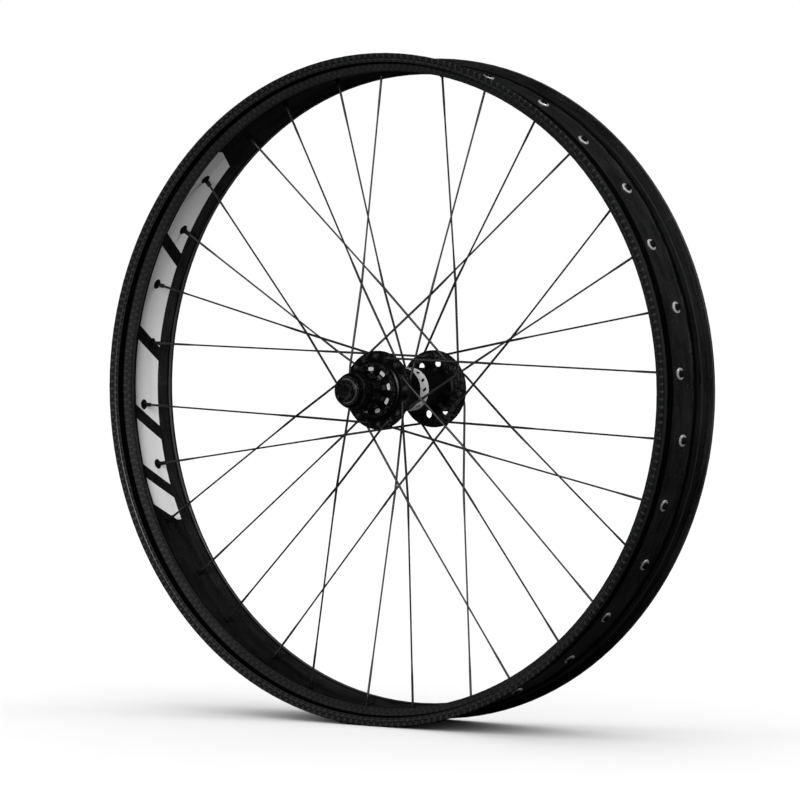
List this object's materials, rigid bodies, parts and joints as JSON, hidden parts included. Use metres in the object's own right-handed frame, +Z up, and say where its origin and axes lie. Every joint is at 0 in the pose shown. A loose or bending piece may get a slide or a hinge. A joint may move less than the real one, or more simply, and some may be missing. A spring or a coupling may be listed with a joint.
{
  "type": "spoked bicycle wheel",
  "caption": "Rear spoked wheel for a fat-tyre bicycle: wide carbon channel rim, crossed spokes, disc-brake hub with a freewheeling splined sprocket driver.",
  "frame": {"origin": "centre of the wheel: on the axle's centreline, halfway between the two end-cap faces, which is also the rim's centre plane", "axes": "+Y along the axle towards the brake side, the sprocket driver is at -Y, +Z up with the wheel standing, +X is the way the wheel rolls forwards when it turns positively about +Y"},
  "size_m": [0.57, 0.17, 0.57],
  "materials": {
    "rim_carbon": "satin woven carbon fibre",
    "graphic_film": "satin film",
    "nipple_black": "black anodised",
    "washer_steel": "plain",
    "spoke_black": "black coated",
    "shell_anodised": "satin black anodised",
    "band_print": "printed",
    "hardened_steel": "ground and hardened",
    "driver_anodised": "black anodised, bare in the milled pockets",
    "spring_steel": "blued spring steel",
    "axle_aluminium": "turned",
    "cap_anodised": "satin black anodised",
    "spacer_aluminium": "turned",
    "bearing_steel": "ground",
    "cage_polymer": "moulded",
    "seal_rubber": "matt"
  },
  "bodies": {
    "axle": {"axle_tube": "axle_aluminium", "drive_end_cap": "cap_anodised", "brake_end_cap": "cap_anodised", "end_cap_o_rings": "seal_rubber", "inboard_driver_spacer": "spacer_aluminium", "outboard_driver_spacer": "spacer_aluminium", "drive_hub_bearing_inner_race": "bearing_steel", "brake_hub_bearing_inner_race": "bearing_steel", "inner_driver_bearing_inner_race": "bearing_steel", "outer_driver_bearing_inner_race": "bearing_steel"},
    "wheel": {"rim": "rim_carbon", "rim_graphics": "graphic_film", "spoke_nipples": "nipple_black", "nipple_washers": "washer_steel", "drive_spokes_elbows_out": "spoke_black", "drive_spokes_elbows_in": "spoke_black", "brake_spokes_elbows_out": "spoke_black", "brake_spokes_elbows_in": "spoke_black", "hub_shell": "shell_anodised", "hub_band": "band_print", "ratchet_ring": "hardened_steel", "driver_seal": "seal_rubber", "drive_hub_bearing_outer_race": "bearing_steel", "drive_hub_bearing_seals": "seal_rubber", "brake_hub_bearing_outer_race": "bearing_steel", "brake_hub_bearing_seals": "seal_rubber"},
    "driver": {"driver_body": "driver_anodised", "driver_circlip": "spring_steel", "pawl_springs": "spring_steel", "inner_driver_bearing_outer_race": "bearing_steel", "inner_driver_bearing_seals": "seal_rubber", "outer_driver_bearing_outer_race": "bearing_steel", "outer_driver_bearing_seals": "seal_rubber"},
    "pawl_1": {"pawl_1": "hardened_steel"},
    "pawl_2": {"pawl_2": "hardened_steel"},
    "pawl_3": {"pawl_3": "hardened_steel"},
    "hub_ball_sets": {"drive_hub_bearing_balls": "bearing_steel", "drive_hub_bearing_cage": "cage_polymer", "brake_hub_bearing_balls": "bearing_steel", "brake_hub_bearing_cage": "cage_polymer"},
    "inner_driver_ball_set": {"inner_driver_bearing_balls": "bearing_steel", "inner_driver_bearing_cage": "cage_polymer"},
    "outer_driver_ball_set": {"outer_driver_bearing_balls": "bearing_steel", "outer_driver_bearing_cage": "cage_polymer"}
  },
  "joints": [
    {"name": "wheel_spin", "type": "hinge", "parent": "axle", "child": "wheel", "pos_m": [0, 0, 0], "axis": [0, 1, 0], "continuous": true},
    {"name": "driver_spin", "type": "hinge", "parent": "axle", "child": "driver", "pos_m": [0, -0.062, 0], "axis": [0, 1, 0], "continuous": true},
    {"name": "pawl_1_lift", "type": "hinge", "parent": "driver", "child": "pawl_1", "pos_m": [0.01321, -0.033, 0.00644], "axis": [0, 1, 0], "range_deg": [0, 12]},
    {"name": "pawl_2_lift", "type": "hinge", "parent": "driver", "child": "pawl_2", "pos_m": [-0.01219, -0.033, 0.00822], "axis": [0, 1, 0], "range_deg": [0, 12]},
    {"name": "pawl_3_lift", "type": "hinge", "parent": "driver", "child": "pawl_3", "pos_m": [-0.00103, -0.033, -0.01466], "axis": [0, 1, 0], "range_deg": [0, 12]},
    {"name": "hub_balls_roll", "type": "hinge", "parent": "axle", "child": "hub_ball_sets", "pos_m": [0, 0, 0], "axis": [0, 1, 0], "continuous": true},
    {"name": "inner_driver_balls_roll", "type": "hinge", "parent": "axle", "child": "inner_driver_ball_set", "pos_m": [0, -0.0475, 0], "axis": [0, 1, 0], "continuous": true},
    {"name": "outer_driver_balls_roll", "type": "hinge", "parent": "axle", "child": "outer_driver_ball_set", "pos_m": [0, -0.0784, 0], "axis": [0, 1, 0], "continuous": true}
  ],
  "couplings": [
    {"joint": "pawl_2_lift", "follows": "pawl_1_lift", "ratio": 1},
    {"joint": "pawl_3_lift", "follows": "pawl_1_lift", "ratio": 1},
    {"joint": "hub_balls_roll", "follows": "wheel_spin", "ratio": 0.5809},
    {"joint": "inner_driver_balls_roll", "follows": "driver_spin", "ratio": 0.5667},
    {"joint": "outer_driver_balls_roll", "follows": "driver_spin", "ratio": 0.5472}
  ]
}
